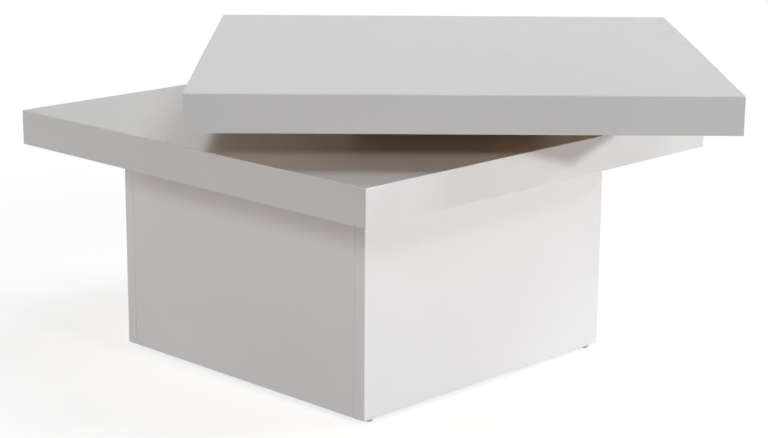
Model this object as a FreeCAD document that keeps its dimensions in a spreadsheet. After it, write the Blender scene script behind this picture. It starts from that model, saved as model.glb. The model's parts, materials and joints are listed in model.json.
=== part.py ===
"""Swivel coffee table: a square box base, a fixed lower slab and an upper slab that turns on a bearing.

Frame: millimetres, +Z up, origin on the floor under the middle of the base.
-Y is the front of the base and -X its left side.
The upper slab is drawn in line with the lower one and then turned about the pivot by swivel_turn.
"""
import FreeCAD, Part
import math
import os
import re

# Driving sizes, in millimetres, degrees and counts
SIZES = {
    # slabs
    "slab_side": "700",
    "slab_thickness": "50",
    "slab_gap": "48",
    "skin_thickness": "4",
    "band_thickness": "1",
    "rail_width": "40",
    "bar_width": "70",
    "block_width": "260",
    "core_cell": "40",
    "core_wall": "2",
    # base
    "base_side": "494",
    "base_height": "300",
    "panel_thickness": "19",
    "batten_size": "30",
    # glides under the front and back panels
    "glide_height": "5",
    "glide_diameter": "12",
    "glide_inset": "18",
    "nail_diameter": "2",
    "nail_head_diameter": "6",
    "nail_head_thickness": "1.2",
    "nail_recess_depth": "1.6",
    "nail_depth": "14",
    # wood screws of the battens and of the upper bearing plate
    "screw_diameter": "4",
    "screw_head_diameter": "8",
    "screw_head_height": "2",
    "batten_screw_inset": "88",
    "batten_screw_stagger": "40",
    "slab_screw_bite": "25",
    "panel_screw_bite": "12",
    # corner joints of the base
    "cam_diameter": "15",
    "cam_length": "12.5",
    "cam_setback": "24",
    "cam_spread": "190",
    "cam_bolt_diameter": "5",
    "cam_bolt_head_diameter": "7",
    "cam_bolt_head_length": "4",
    "cam_bolt_anchor": "11",
    "dowel_diameter": "8",
    "dowel_spread": "110",
    "dowel_face_depth": "10",
    "dowel_end_depth": "20",
    # swivel
    "pivot_offset": "178",
    "swivel_turn": "44.6",
    "spacer_diameter": "280",
    "bearing_diameter": "240",
    "bearing_height": "11",
    "plate_thickness": "2.5",
    "race_diameter": "184",
    "ball_diameter": "8",
    "ball_count": "24",
    "cage_width": "16",
    "cage_thickness": "2",
    "rivet_diameter": "16",
    "rivet_flange_diameter": "28",
    "rivet_flange_thickness": "2",
    "rivet_recess_diameter": "40",
    "rivet_recess_depth": "4",
    "plate_screw_circle": "212",
    "plate_screw_count": "6",
    "plate_screw_bite": "32",
    "access_diameter": "14",
    # machine screws that hold the bearing on the spacer
    "machine_screw_diameter": "5",
    "machine_screw_head_diameter": "10",
    "machine_screw_head_height": "2.5",
    "machine_screw_circle": "120",
    "nut_diameter": "11",
    "nut_height": "4",
    # bolts that hold the spacer on the lower slab
    "bolt_diameter": "6",
    "bolt_circle": "100",
    "bolt_head_diameter": "11",
    "bolt_head_height": "4",
    "bolt_bite": "12",
    "washer_diameter": "16",
    "washer_thickness": "1.6",
    "insert_diameter": "10",
    "insert_length": "15",
    # clearances, all radial or face to face
    "hole_clearance": "0.25",
    "thread_clearance": "0.05",
    "ball_clearance": "0.05",
    "cage_clearance": "0.3",
    "rivet_clearance": "0.05",
    "flange_clearance": "0.3",
}

# Levels above the floor and other places, as formulas of the driving sizes
PANEL_BOTTOM = "glide_height"
LOWER_BOTTOM = "(glide_height + base_height)"
LOWER_TOP = f"({LOWER_BOTTOM} + slab_thickness)"
UPPER_BOTTOM = f"({LOWER_TOP} + slab_gap)"
SPACER_TOP = f"({UPPER_BOTTOM} - bearing_height)"
LOWER_PLATE_TOP = f"({SPACER_TOP} + plate_thickness)"
UPPER_PLATE_BOTTOM = f"({UPPER_BOTTOM} - plate_thickness)"
BALL_LEVEL = f"(({LOWER_PLATE_TOP} + {UPPER_PLATE_BOTTOM}) / 2)"

BOARD_SIDE = "(slab_side - 2 * band_thickness)"
RAIL_INSIDE = "(slab_side / 2 - band_thickness - rail_width)"
CORE_HEIGHT = "(slab_thickness - 2 * skin_thickness)"
BLOCK_LEFT = "(pivot_offset - block_width / 2)"
BAR_OFFSET = "(base_side / 2 - panel_thickness - batten_size / 2)"
PANEL_OFFSET = "(base_side / 2 - panel_thickness / 2)"
SIDE_PANEL_WIDTH = "(base_side - 2 * panel_thickness)"
BATTEN_MIDDLE = f"({LOWER_BOTTOM} - batten_size / 2)"
BATTEN_SCREW_SPACING = f"({SIDE_PANEL_WIDTH} / 2 - batten_screw_inset)"
PANEL_MIDDLE = "(glide_height + base_height / 2)"
CAM_BOLT_BORE = "(cam_bolt_head_diameter + 2 * hole_clearance)"
CAM_BOLT_REACH = "(cam_setback + cam_bolt_head_length / 2 + hole_clearance)"

ENDS = (-1, 1)
BATTEN_STATIONS = (-1, 0, 1)
QUARTERS = (0, 90, 180, 270)
DIAGONALS = (45, 135, 225, 315)
FULL_TURN = 360
HEXAGON_SIDES = 6

# Turns a cylinder drawn along +Z to lie along another axis
ALONG = {
    "+Z": FreeCAD.Rotation(),
    "+X": FreeCAD.Rotation(FreeCAD.Vector(0, 1, 0), 90),
    "-X": FreeCAD.Rotation(FreeCAD.Vector(0, 1, 0), -90),
    "+Y": FreeCAD.Rotation(FreeCAD.Vector(1, 0, 0), -90),
    "-Y": FreeCAD.Rotation(FreeCAD.Vector(1, 0, 0), 90),
}

doc = FreeCAD.newDocument("swivel_coffee_table")
sheet = doc.addObject("Spreadsheet::Sheet", "Sizes")
for row, (alias, number) in enumerate(SIZES.items(), start=1):
    sheet.set(f"A{row}", alias)
    sheet.set(f"B{row}", number)
    sheet.setAlias(f"B{row}", alias)
doc.recompute()

nodes = []


def size(alias):
    """The number that one cell of the sheet holds."""
    return float(sheet.get(alias))


def with_cells(formula):
    """The formula with each size's name turned into a reference to its cell."""
    return re.sub(r"[a-z_]{2,}", lambda m: f"Sizes.{m[0]}" if m[0] in SIZES else m[0], str(formula))


def bind(thing, prop, formula):
    """Ties one property of an object to the sheet."""
    thing.setExpression(prop, with_cells(formula))


def place(thing, x, y, z, turned=False):
    """Puts an object's own origin at x, y, z, turned with the upper slab where asked."""
    if turned:
        arm = f"(({x}) - pivot_offset)"
        sine = "sin(swivel_turn * 1 deg)"
        cosine = "cos(swivel_turn * 1 deg)"
        x, y = (
            f"pivot_offset + {arm} * {cosine} - ({y}) * {sine}",
            f"{arm} * {sine} + ({y}) * {cosine}",
        )
        bind(thing, "Placement.Rotation.Angle", "swivel_turn * 1 deg")
    bind(thing, "Placement.Base.x", x)
    bind(thing, "Placement.Base.y", y)
    bind(thing, "Placement.Base.z", z)
    return thing


def box(name, x, y, z, length, width, height, turned=False):
    """A board centred on x, y with its underside at z."""
    board = doc.addObject("Part::Box", name)
    bind(board, "Length", length)
    bind(board, "Width", width)
    bind(board, "Height", height)
    return place(board, f"({x}) - ({length}) / 2", f"({y}) - ({width}) / 2", z, turned)


def rod(name, x, y, z, diameter, length, along="+Z", turned=False):
    """A cylinder that starts at x, y, z and runs along an axis."""
    cylinder = doc.addObject("Part::Cylinder", name)
    cylinder.Placement.Rotation = ALONG[along]
    bind(cylinder, "Radius", f"({diameter}) / 2")
    bind(cylinder, "Height", length)
    return place(cylinder, x, y, z, turned)


def taper(name, x, y, z, start, end, length, along="+Z", turned=False):
    """A cone frustum that starts at x, y, z with one diameter and ends with another."""
    cone = doc.addObject("Part::Cone", name)
    cone.Placement.Rotation = ALONG[along]
    bind(cone, "Radius1", f"({start}) / 2")
    bind(cone, "Radius2", f"({end}) / 2")
    bind(cone, "Height", length)
    return place(cone, x, y, z, turned)


def group(name, things):
    """Several separate solids in one object."""
    compound = doc.addObject("Part::Compound", name)
    compound.Links = things
    return compound


def joined(name, things):
    """Several touching solids as one piece."""
    fused = doc.addObject("Part::MultiFuse", name)
    fused.Shapes = things
    return fused


def drilled(name, blank, tools):
    """A blank with every tool cut out of it."""
    result = doc.addObject("Part::Cut", name)
    result.Base = blank
    result.Tool = group(f"{name}_tools", tools)
    return result


def node(name, thing):
    """Names a finished sub-part, which is written to its own file."""
    thing.Label = name
    nodes.append(thing)
    return thing


def wood_screw(name, x, y, z, length, along="+Z", turned=False):
    """A countersunk screw whose head's flat lies at x, y, z."""
    head = taper(f"{name}_head", x, y, z, "screw_head_diameter", "screw_diameter",
                 "screw_head_height", along, turned)
    shank = rod(f"{name}_shank", x, y, z, "screw_diameter", length, along, turned)
    return joined(name, [head, shank])


def screw_holes(name, x, y, z, length, along="+Z", turned=False):
    """The countersink and the pilot hole that one wood screw fills."""
    sink = taper(f"{name}_sink", x, y, z, "screw_head_diameter", "screw_diameter",
                 "screw_head_height", along, turned)
    pilot = rod(f"{name}_pilot", x, y, z, "screw_diameter", length, along, turned)
    return joined(name, [sink, pilot])


def polar(circle, angle):
    """The place at an angle on a circle about the pivot, before the upper slab is turned."""
    x = f"(pivot_offset + {circle} / 2 * cos({angle} deg))"
    y = f"({circle} / 2 * sin({angle} deg))"
    return x, y


def plate_screw_angles():
    """Angles of the screws in the upper bearing plate."""
    count = int(size("plate_screw_count"))
    return [FULL_TURN * index / count for index in range(count)]


def ball_angles():
    """Angles of the balls in the race."""
    count = int(size("ball_count"))
    return [FULL_TURN * index / count for index in range(count)]


def bolt_holes(name, z, length):
    """Clearance holes for the bolts that hold the spacer on the lower slab."""
    holes = []
    for angle in DIAGONALS:
        x, y = polar("bolt_circle", angle)
        holes.append(rod(f"{name}_{angle}", x, y, z, "bolt_diameter + 2 * hole_clearance", length))
    return holes


def batten_slab_screw_places():
    """Where the screws go up through the battens into the lower slab: name, x and y."""
    return [
        (f"{side}_{station}", f"{station} * {BATTEN_SCREW_SPACING}", f"{side} * {BAR_OFFSET}")
        for side in ENDS
        for station in BATTEN_STATIONS
    ]


def batten_side_screw_places():
    """Where the screws go sideways through the battens into the panels: name, x and side."""
    return [
        (f"{side}_{station}", f"{station} * {BATTEN_SCREW_SPACING} + batten_screw_stagger", side)
        for side in ENDS
        for station in BATTEN_STATIONS
    ]


SLAB_SCREW_LENGTH = "(batten_size + slab_screw_bite)"
SIDE_SCREW_LENGTH = "(batten_size + panel_screw_bite)"
BATTEN_BOTTOM = f"({LOWER_BOTTOM} - batten_size)"
BATTEN_INSIDE = "(base_side / 2 - panel_thickness - batten_size)"
PLATE_SCREW_LENGTH = "(plate_thickness + plate_screw_bite)"


def corner_places():
    """The four corners of the base as signs of X and Y with a name."""
    return [(f"{x_sign}_{y_sign}", x_sign, y_sign) for x_sign in ENDS for y_sign in ENDS]


def cam_levels():
    """Heights of the two cams at each corner."""
    return [(f"{end}", f"({PANEL_MIDDLE} + {end} * cam_spread / 2)") for end in ENDS]


def dowel_levels():
    """Heights of the two dowels at each corner."""
    return [(f"{end}", f"({PANEL_MIDDLE} + {end} * dowel_spread / 2)") for end in ENDS]


def glide_places():
    """The four glides: one near each end of the front and back panels."""
    return [
        (tag, f"{x_sign} * (base_side / 2 - glide_inset)", f"{y_sign} * {PANEL_OFFSET}")
        for tag, x_sign, y_sign in corner_places()
    ]


def build_face_panel(name, y_sign):
    """Front or back panel: full width, drilled on its inside for bolts, dowels and batten screws."""
    inside = f"{y_sign} * (base_side / 2 - panel_thickness)"
    outwards = "+Y" if y_sign > 0 else "-Y"
    blank = box(f"{name}_board", "0", f"{y_sign} * {PANEL_OFFSET}", PANEL_BOTTOM,
                "base_side", "panel_thickness", "base_height")
    tools = []
    for x_sign in ENDS:
        x = f"{x_sign} * {PANEL_OFFSET}"
        for tag, z in cam_levels():
            tools.append(rod(f"{name}_bolt_{x_sign}_{tag}", x, inside, z,
                             "cam_bolt_diameter", "cam_bolt_anchor", outwards))
        for tag, z in dowel_levels():
            tools.append(rod(f"{name}_dowel_{x_sign}_{tag}", x, inside, z,
                             "dowel_diameter", "dowel_face_depth", outwards))
    for tag, x, side in batten_side_screw_places():
        if side == y_sign:
            tools.append(rod(f"{name}_pilot_{tag}", x, inside, BATTEN_MIDDLE,
                             "screw_diameter", "panel_screw_bite", outwards))
    for tag, x, y in glide_places():
        if tag.endswith(f"_{y_sign}"):
            tools.append(rod(f"{name}_nail_{tag}", x, y, PANEL_BOTTOM, "nail_diameter", "nail_depth"))
    return node(name, drilled(name, blank, tools))


def build_side_panel(name, x_sign):
    """Left or right panel: fits between the face panels, bored at its ends for cams and dowels."""
    x = f"{x_sign} * {PANEL_OFFSET}"
    inside = f"{x_sign} * (base_side / 2 - panel_thickness)"
    outwards = "+X" if x_sign > 0 else "-X"
    blank = box(f"{name}_board", x, "0", PANEL_BOTTOM, "panel_thickness", SIDE_PANEL_WIDTH, "base_height")
    tools = []
    for y_sign in ENDS:
        end = f"{y_sign} * {SIDE_PANEL_WIDTH} / 2"
        inwards = "-Y" if y_sign > 0 else "+Y"
        for tag, z in cam_levels():
            cam_y = f"{y_sign} * ({SIDE_PANEL_WIDTH} / 2 - cam_setback)"
            cam_bore = rod(f"{name}_cam_{y_sign}_{tag}", inside, cam_y, z,
                           "cam_diameter", "cam_length", outwards)
            bolt_bore = rod(f"{name}_bolt_{y_sign}_{tag}", x, end, z, CAM_BOLT_BORE, CAM_BOLT_REACH, inwards)
            tools.append(joined(f"{name}_cam_bores_{y_sign}_{tag}", [cam_bore, bolt_bore]))
        for tag, z in dowel_levels():
            tools.append(rod(f"{name}_dowel_{y_sign}_{tag}", x, end, z,
                             "dowel_diameter", "dowel_end_depth", inwards))
    return node(name, drilled(name, blank, tools))


def build_corner_fittings():
    """Cam housings, cam bolts and dowels at the four corners of the base."""
    housings = []
    bolts = []
    dowels = []
    for corner, x_sign, y_sign in corner_places():
        x = f"{x_sign} * {PANEL_OFFSET}"
        inside = f"{x_sign} * (base_side / 2 - panel_thickness)"
        face = f"{y_sign} * {SIDE_PANEL_WIDTH} / 2"
        outwards_x = "+X" if x_sign > 0 else "-X"
        outwards_y = "+Y" if y_sign > 0 else "-Y"
        inwards_y = "-Y" if y_sign > 0 else "+Y"
        for tag, z in cam_levels():
            name = f"{corner}_{tag}"
            cam_y = f"{y_sign} * ({SIDE_PANEL_WIDTH} / 2 - cam_setback)"
            drum = rod(f"cam_drum_{name}", inside, cam_y, z, "cam_diameter", "cam_length", outwards_x)
            mouth = rod(f"cam_mouth_{name}", x, face, z, CAM_BOLT_BORE, CAM_BOLT_REACH, inwards_y)
            housings.append(drilled(f"cam_housing_{name}", drum, [mouth]))
            anchor = rod(f"cam_bolt_anchor_{name}", x, face, z,
                         "cam_bolt_diameter", "cam_bolt_anchor", outwards_y)
            neck = rod(f"cam_bolt_neck_{name}", x, face, z,
                       "cam_bolt_diameter", "cam_setback", inwards_y)
            head_y = f"{y_sign} * ({SIDE_PANEL_WIDTH} / 2 - cam_setback + cam_bolt_head_length / 2)"
            head = rod(f"cam_bolt_head_{name}", x, head_y, z,
                       "cam_bolt_head_diameter", "cam_bolt_head_length", inwards_y)
            bolts.append(joined(f"cam_bolt_{name}", [anchor, neck, head]))
        for tag, z in dowel_levels():
            start = f"{y_sign} * ({SIDE_PANEL_WIDTH} / 2 + dowel_face_depth)"
            dowels.append(rod(f"dowel_{corner}_{tag}", x, start, z, "dowel_diameter",
                              "dowel_face_depth + dowel_end_depth", inwards_y))
    node("cam_housings", group("cam_housings", housings))
    node("cam_bolts", group("cam_bolts", bolts))
    node("panel_dowels", group("panel_dowels", dowels))


def build_batten(name, y_sign):
    """Batten inside the top of a face panel, which the lower slab is screwed to."""
    y = f"{y_sign} * {BAR_OFFSET}"
    inside = f"{y_sign} * {BATTEN_INSIDE}"
    outwards = "+Y" if y_sign > 0 else "-Y"
    blank = box(f"{name}_stick", "0", y, BATTEN_BOTTOM, SIDE_PANEL_WIDTH, "batten_size", "batten_size")
    tools = []
    for tag, x, screw_y in batten_slab_screw_places():
        if tag.startswith(f"{y_sign}_"):
            tools.append(screw_holes(f"{name}_up_{tag}", x, screw_y, BATTEN_BOTTOM, "batten_size"))
    for tag, x, side in batten_side_screw_places():
        if side == y_sign:
            tools.append(screw_holes(f"{name}_side_{tag}", x, inside, BATTEN_MIDDLE,
                                     "batten_size", outwards))
    return node(name, drilled(name, blank, tools))


def build_batten_screws():
    """Screws up into the lower slab and screws sideways into the face panels."""
    up = [wood_screw(f"slab_screw_{tag}", x, y, BATTEN_BOTTOM, SLAB_SCREW_LENGTH)
          for tag, x, y in batten_slab_screw_places()]
    node("batten_slab_screws", group("batten_slab_screws", up))
    sideways = [wood_screw(f"side_screw_{tag}", x, f"{side} * {BATTEN_INSIDE}", BATTEN_MIDDLE,
                           SIDE_SCREW_LENGTH, "+Y" if side > 0 else "-Y")
                for tag, x, side in batten_side_screw_places()]
    node("batten_side_screws", group("batten_side_screws", sideways))


def build_glides():
    """Plastic glides under the face panels and the nails that hold them."""
    glides = []
    nails = []
    for tag, x, y in glide_places():
        disc = rod(f"glide_disc_{tag}", x, y, "0", "glide_diameter", "glide_height")
        recess = rod(f"glide_recess_{tag}", x, y, "0",
                     "nail_head_diameter + 2 * hole_clearance", "nail_recess_depth")
        bore = rod(f"glide_bore_{tag}", x, y, "0", "nail_diameter", "glide_height")
        glides.append(drilled(f"glide_{tag}", disc, [joined(f"glide_bores_{tag}", [recess, bore])]))
        head = rod(f"nail_head_{tag}", x, y, "nail_recess_depth - nail_head_thickness",
                   "nail_head_diameter", "nail_head_thickness")
        shank = rod(f"nail_shank_{tag}", x, y, "nail_recess_depth - nail_head_thickness", "nail_diameter",
                    f"{PANEL_BOTTOM} + nail_depth - nail_recess_depth + nail_head_thickness")
        nails.append(joined(f"nail_{tag}", [head, shank]))
    node("glides", group("glides", glides))
    node("glide_nails", group("glide_nails", nails))


def build_skin(name, bottom, turned, tools):
    """One of the two thin boards that close a slab above and below."""
    blank = box(f"{name}_board", "0", "0", bottom, BOARD_SIDE, BOARD_SIDE, "skin_thickness", turned)
    return node(name, drilled(name, blank, tools) if tools else blank)


def build_rails(slab, bottom, turned):
    """The four rails of a slab's inner frame: front and back run through, left and right fit between."""
    offset = "(slab_side / 2 - band_thickness - rail_width / 2)"
    between = f"({BOARD_SIDE} - 2 * rail_width)"
    for side, y_sign in (("front", -1), ("back", 1)):
        name = f"{slab}_{side}_rail"
        node(name, box(name, "0", f"{y_sign} * {offset}", bottom, BOARD_SIDE, "rail_width",
                       CORE_HEIGHT, turned))
    for side, x_sign in (("left", -1), ("right", 1)):
        name = f"{slab}_{side}_rail"
        node(name, box(name, f"{x_sign} * {offset}", "0", bottom, "rail_width", between,
                       CORE_HEIGHT, turned))


def build_bands(slab, bottom, turned):
    """Edge bands on the four sides of a slab: front and back run through, left and right fit between."""
    offset = "(slab_side / 2 - band_thickness / 2)"
    for side, y_sign in (("front", -1), ("back", 1)):
        name = f"{slab}_{side}_band"
        node(name, box(name, "0", f"{y_sign} * {offset}", bottom, "slab_side", "band_thickness",
                       "slab_thickness", turned))
    for side, x_sign in (("left", -1), ("right", 1)):
        name = f"{slab}_{side}_band"
        node(name, box(name, f"{x_sign} * {offset}", "0", bottom, "band_thickness", BOARD_SIDE,
                       "slab_thickness", turned))


def build_swivel_block(name, bottom, turned, tools):
    """Solid block inside a slab, from left of the pivot to the right rail, that takes the fixings."""
    blank = box(f"{name}_board", f"({BLOCK_LEFT} + {RAIL_INSIDE}) / 2", "0", bottom,
                f"{RAIL_INSIDE} - {BLOCK_LEFT}", "block_width", CORE_HEIGHT, turned)
    return node(name, drilled(name, blank, tools))


def hexagon(x, y, radius):
    """A closed hexagon with two sides along X."""
    turns = [math.radians(FULL_TURN * corner / HEXAGON_SIDES) for corner in range(HEXAGON_SIDES)]
    corners = [FreeCAD.Vector(x + radius * math.cos(turn), y + radius * math.sin(turn), 0) for turn in turns]
    return Part.makePolygon(corners + corners[:1])


def honeycomb(zone, height):
    """A plate over one rectangular zone with a hexagonal hole wherever a whole cell fits.

    A zone narrower than a cell is filled with a plain strip, and a closed one holds nothing.
    """
    left, front, right, back = zone
    if right <= left or back <= front:
        return None
    radius = size("core_cell") / math.sqrt(3)
    wall = size("core_wall")
    step_x = (size("core_cell") + wall) * math.sqrt(3) / 2
    step_y = size("core_cell") + wall
    reach_x = radius + wall
    reach_y = size("core_cell") / 2 + wall
    rim = [FreeCAD.Vector(x, y, 0) for x, y in
           ((left, front), (right, front), (right, back), (left, back), (left, front))]
    wires = [Part.makePolygon(rim)]
    columns = int((right - left - 2 * reach_x) / step_x) + 1
    for column in range(max(columns, 0)):
        x = left + reach_x + column * step_x
        y = front + reach_y + (column % 2) * step_y / 2
        while y + reach_y <= back:
            wires.append(hexagon(x, y, radius))
            y += step_y
    face = Part.makeFace(wires, "Part::FaceMakerBullseye")
    return face.extrude(FreeCAD.Vector(0, 0, height))


def build_core(name, bottom, turned, zones):
    """Paper honeycomb that fills a slab between its rails, bars and block."""
    height = size("slab_thickness") - 2 * size("skin_thickness")
    filled = [solid for solid in (honeycomb(zone, height) for zone in zones) if solid]
    core = doc.addObject("Part::Feature", name)
    core.Shape = Part.makeCompound(filled)
    return node(name, place(core, "0", "0", bottom, turned))


def build_lower_slab():
    """The fixed slab on the base."""
    core_bottom = f"({LOWER_BOTTOM} + skin_thickness)"
    deck_bottom = f"({LOWER_TOP} - skin_thickness)"
    deck_holes = bolt_holes("lower_deck_hole", deck_bottom, "skin_thickness")
    build_skin("lower_slab_deck", deck_bottom, False, deck_holes)
    screw_pilots = [rod(f"lower_skin_pilot_{tag}", x, y, LOWER_BOTTOM, "screw_diameter", "skin_thickness")
                    for tag, x, y in batten_slab_screw_places()]
    skin_holes = bolt_holes("lower_skin_hole", LOWER_BOTTOM, "skin_thickness")
    build_skin("lower_slab_underside", LOWER_BOTTOM, False, skin_holes + screw_pilots)
    build_rails("lower_slab", core_bottom, False)
    build_bands("lower_slab", LOWER_BOTTOM, False)
    for side, y_sign in (("front", -1), ("back", 1)):
        name = f"lower_slab_{side}_bar"
        blank = box(f"{name}_board", "0", f"{y_sign} * {BAR_OFFSET}", core_bottom,
                    f"2 * {RAIL_INSIDE}", "bar_width", CORE_HEIGHT)
        pilots = [rod(f"{name}_pilot_{tag}", x, y, core_bottom, "screw_diameter",
                      "slab_screw_bite - skin_thickness")
                  for tag, x, y in batten_slab_screw_places() if tag.startswith(f"{y_sign}_")]
        node(name, drilled(name, blank, pilots))
    build_swivel_block("lower_slab_swivel_block", core_bottom, False,
                       bolt_holes("lower_block_hole", core_bottom, CORE_HEIGHT))
    inside = size("slab_side") / 2 - size("band_thickness") - size("rail_width")
    bar = size("base_side") / 2 - size("panel_thickness") - size("batten_size") / 2
    bar_inside = bar - size("bar_width") / 2
    bar_outside = bar + size("bar_width") / 2
    block_left = size("pivot_offset") - size("block_width") / 2
    block_half = size("block_width") / 2
    build_core("lower_slab_core", core_bottom, False, [
        (-inside, -bar_inside, block_left, bar_inside),
        (block_left, block_half, inside, bar_inside),
        (block_left, -bar_inside, inside, -block_half),
        (-inside, bar_outside, inside, inside),
        (-inside, -inside, inside, -bar_outside),
    ])


def build_upper_slab():
    """The slab that turns on the swivel."""
    core_bottom = f"({UPPER_BOTTOM} + skin_thickness)"
    build_skin("upper_slab_deck", f"{UPPER_BOTTOM} + slab_thickness - skin_thickness", True, [])
    skin_tools = [rod("upper_skin_recess", "pivot_offset", "0", UPPER_BOTTOM,
                      "rivet_recess_diameter", "skin_thickness", turned=True)]
    block_tools = []
    for index, angle in enumerate(plate_screw_angles()):
        x, y = polar("plate_screw_circle", angle)
        skin_tools.append(rod(f"upper_skin_pilot_{index}", x, y, UPPER_BOTTOM,
                              "screw_diameter", "skin_thickness", turned=True))
        block_tools.append(rod(f"upper_block_pilot_{index}", x, y, core_bottom, "screw_diameter",
                               "plate_screw_bite - skin_thickness", turned=True))
    build_skin("upper_slab_underside", UPPER_BOTTOM, True, skin_tools)
    build_rails("upper_slab", core_bottom, True)
    build_bands("upper_slab", UPPER_BOTTOM, True)
    build_swivel_block("upper_slab_swivel_block", core_bottom, True, block_tools)
    inside = size("slab_side") / 2 - size("band_thickness") - size("rail_width")
    block_left = size("pivot_offset") - size("block_width") / 2
    block_half = size("block_width") / 2
    build_core("upper_slab_core", core_bottom, True, [
        (-inside, -inside, block_left, inside),
        (block_left, block_half, inside, inside),
        (block_left, -inside, inside, -block_half),
    ])


def build_spacer():
    """Round spacer that lifts the bearing above the lower slab, with its threaded inserts."""
    blank = rod("spacer_disc", "pivot_offset", "0", LOWER_TOP, "spacer_diameter",
                f"{SPACER_TOP} - {LOWER_TOP}")
    tools = [rod("spacer_recess", "pivot_offset", "0", f"{SPACER_TOP} - rivet_recess_depth",
                 "rivet_recess_diameter", "rivet_recess_depth")]
    for angle in QUARTERS:
        x, y = polar("machine_screw_circle", angle)
        sink = taper(f"spacer_sink_{angle}", x, y, LOWER_TOP, "machine_screw_head_diameter",
                     "machine_screw_diameter", "machine_screw_head_height")
        bore = rod(f"spacer_bore_{angle}", x, y, LOWER_TOP,
                   "machine_screw_diameter + 2 * hole_clearance", f"{SPACER_TOP} - {LOWER_TOP}")
        tools.append(joined(f"spacer_screw_hole_{angle}", [sink, bore]))
    for angle in DIAGONALS:
        x, y = polar("bolt_circle", angle)
        tools.append(rod(f"spacer_insert_hole_{angle}", x, y, LOWER_TOP,
                         "insert_diameter", "insert_length"))
    node("swivel_spacer", drilled("swivel_spacer", blank, tools))

    inserts = []
    for angle in DIAGONALS:
        x, y = polar("bolt_circle", angle)
        sleeve = rod(f"insert_sleeve_{angle}", x, y, LOWER_TOP, "insert_diameter", "insert_length")
        thread = rod(f"insert_thread_{angle}", x, y, LOWER_TOP,
                     "bolt_diameter + 2 * thread_clearance", "insert_length")
        inserts.append(drilled(f"insert_{angle}", sleeve, [thread]))
    node("spacer_inserts", group("spacer_inserts", inserts))


def build_swivel_bolts():
    """Bolts and washers from under the lower slab up into the spacer's inserts."""
    bolts = []
    washers = []
    washer_bottom = f"({LOWER_BOTTOM} - washer_thickness)"
    for angle in DIAGONALS:
        x, y = polar("bolt_circle", angle)
        head = rod(f"bolt_head_{angle}", x, y, f"{washer_bottom} - bolt_head_height",
                   "bolt_head_diameter", "bolt_head_height")
        shank = rod(f"bolt_shank_{angle}", x, y, f"{washer_bottom} - bolt_head_height", "bolt_diameter",
                    "bolt_head_height + washer_thickness + slab_thickness + bolt_bite")
        bolts.append(joined(f"swivel_bolt_{angle}", [head, shank]))
        disc = rod(f"washer_disc_{angle}", x, y, washer_bottom, "washer_diameter", "washer_thickness")
        hole = rod(f"washer_hole_{angle}", x, y, washer_bottom,
                   "bolt_diameter + 2 * hole_clearance", "washer_thickness")
        washers.append(drilled(f"washer_{angle}", disc, [hole]))
    node("swivel_bolts", group("swivel_bolts", bolts))
    node("swivel_bolt_washers", group("swivel_bolt_washers", washers))


def race_groove(name):
    """The ring that the balls sweep, a little larger than the balls, cut from both bearing plates."""
    ring = doc.addObject("Part::Torus", name)
    bind(ring, "Radius1", "race_diameter / 2")
    bind(ring, "Radius2", "ball_diameter / 2 + ball_clearance")
    return place(ring, "pivot_offset", "0", BALL_LEVEL)


def build_bearing_lower_plate():
    """Fixed plate of the bearing, with access holes to reach the upper plate's screws."""
    blank = rod("lower_plate_disc", "pivot_offset", "0", SPACER_TOP, "bearing_diameter", "plate_thickness")
    tools = [
        race_groove("lower_plate_race"),
        rod("lower_plate_bore", "pivot_offset", "0", SPACER_TOP, "rivet_diameter", "plate_thickness"),
    ]
    for angle in QUARTERS:
        x, y = polar("machine_screw_circle", angle)
        tools.append(rod(f"lower_plate_hole_{angle}", x, y, SPACER_TOP,
                         "machine_screw_diameter + 2 * hole_clearance", "plate_thickness"))
    for index, angle in enumerate(plate_screw_angles()):
        x, y = polar("plate_screw_circle", angle)
        tools.append(rod(f"lower_plate_access_{index}", x, y, SPACER_TOP,
                         "access_diameter", "plate_thickness"))
    node("bearing_lower_plate", drilled("bearing_lower_plate", blank, tools))


def build_bearing_upper_plate():
    """Turning plate of the bearing and the wood screws that hold it under the upper slab."""
    blank = rod("upper_plate_disc", "pivot_offset", "0", UPPER_PLATE_BOTTOM,
                "bearing_diameter", "plate_thickness")
    tools = [
        race_groove("upper_plate_race"),
        rod("upper_plate_bore", "pivot_offset", "0", UPPER_PLATE_BOTTOM,
            "rivet_diameter + 2 * rivet_clearance", "plate_thickness"),
    ]
    screws = []
    for index, angle in enumerate(plate_screw_angles()):
        x, y = polar("plate_screw_circle", angle)
        tools.append(screw_holes(f"upper_plate_hole_{index}", x, y, UPPER_PLATE_BOTTOM,
                                 "plate_thickness", turned=True))
        screws.append(wood_screw(f"plate_screw_{index}", x, y, UPPER_PLATE_BOTTOM,
                                 PLATE_SCREW_LENGTH, turned=True))
    node("bearing_upper_plate", drilled("bearing_upper_plate", blank, tools))
    node("bearing_plate_screws", group("bearing_plate_screws", screws))


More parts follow.
